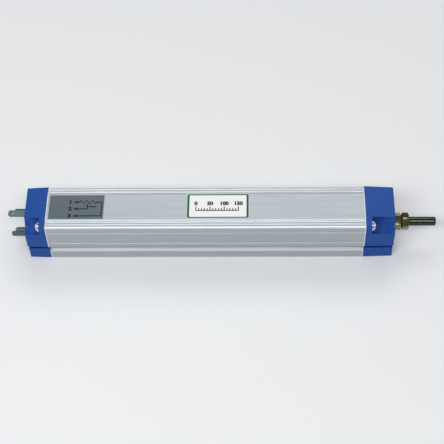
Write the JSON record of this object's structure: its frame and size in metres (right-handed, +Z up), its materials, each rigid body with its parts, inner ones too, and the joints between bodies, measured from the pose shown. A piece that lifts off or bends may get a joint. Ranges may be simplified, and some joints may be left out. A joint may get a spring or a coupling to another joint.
{
  "type": "linear position sensor",
  "caption": "Linear position sensor: extruded aluminium housing with blue end caps, a sliding drive rod with a threaded tip and nuts, and a bladed plug base at the rear.",
  "frame": {"origin": "middle of the housing's flat base face", "axes": "+X along the drive rod, out of the front end; +Z up from the base, towards the labelled face"},
  "size_m": [0.2806, 0.033, 0.0377],
  "materials": {
    "anodised_aluminium": "satin natural anodised, fine lines along its length",
    "blue_plastic": "moulded, semi-matt blue",
    "pale_rubber": "pale flat gasket sheet",
    "zinc_steel": "bright zinc plated",
    "bearing_plastic": "filled low-friction plastic",
    "black_rubber": "moulded black rubber",
    "black_plastic": "glass-filled black plastic",
    "brass": "plain brass",
    "plated_brass": "tin plated, slightly dull",
    "board_laminate": "glass-epoxy laminate",
    "carbon_film": "polished carbon-polymer film",
    "lead_sleeve": "insulated lead",
    "grey_plate": "printed grey foil plate",
    "white_label": "white label with a green border",
    "carriage_plastic": "moulded acetal",
    "rod_steel": "ground stainless steel",
    "yellow_zinc": "yellow-passivated zinc plate"
  },
  "bodies": {
    "housing": {"housing_profile": "anodised_aluminium", "front_cap": "blue_plastic", "rear_cap": "blue_plastic", "front_gasket": "pale_rubber", "rear_gasket": "pale_rubber", "front_cap_screws": "zinc_steel", "rear_cap_screws": "zinc_steel", "rod_bush": "bearing_plastic", "rod_seal": "black_rubber", "front_bumper": "black_rubber", "rear_bumper": "black_rubber", "connector_base": "black_plastic", "connector_insert": "brass", "earth_terminal": "plated_brass", "terminal_1": "plated_brass", "terminal_2": "plated_brass", "terminal_3": "plated_brass", "track_board": "board_laminate", "resistive_track": "carbon_film", "collector_track": "carbon_film", "earth_lead": "lead_sleeve", "lead_wire_1": "lead_sleeve", "lead_wire_2": "lead_sleeve", "lead_wire_3": "lead_sleeve", "wiring_plate": "grey_plate", "type_label": "white_label"},
    "carriage": {"wiper_carriage": "carriage_plastic", "front_guide_shoe": "bearing_plastic", "back_guide_shoe": "bearing_plastic", "wiper_contact": "brass", "wiper_rivets": "brass"},
    "rod": {"drive_rod": "rod_steel", "inner_nut": "yellow_zinc", "outer_nut": "yellow_zinc"}
  },
  "joints": [
    {"name": "rod_slide", "type": "slide", "parent": "housing", "child": "carriage", "axis": [1, 0, 0], "range_m": [0, 0.15]},
    {"name": "rod_spin", "type": "hinge", "parent": "carriage", "child": "rod", "pos_m": [0, 0, 0.0204], "axis": [1, 0, 0], "continuous": true}
  ]
}
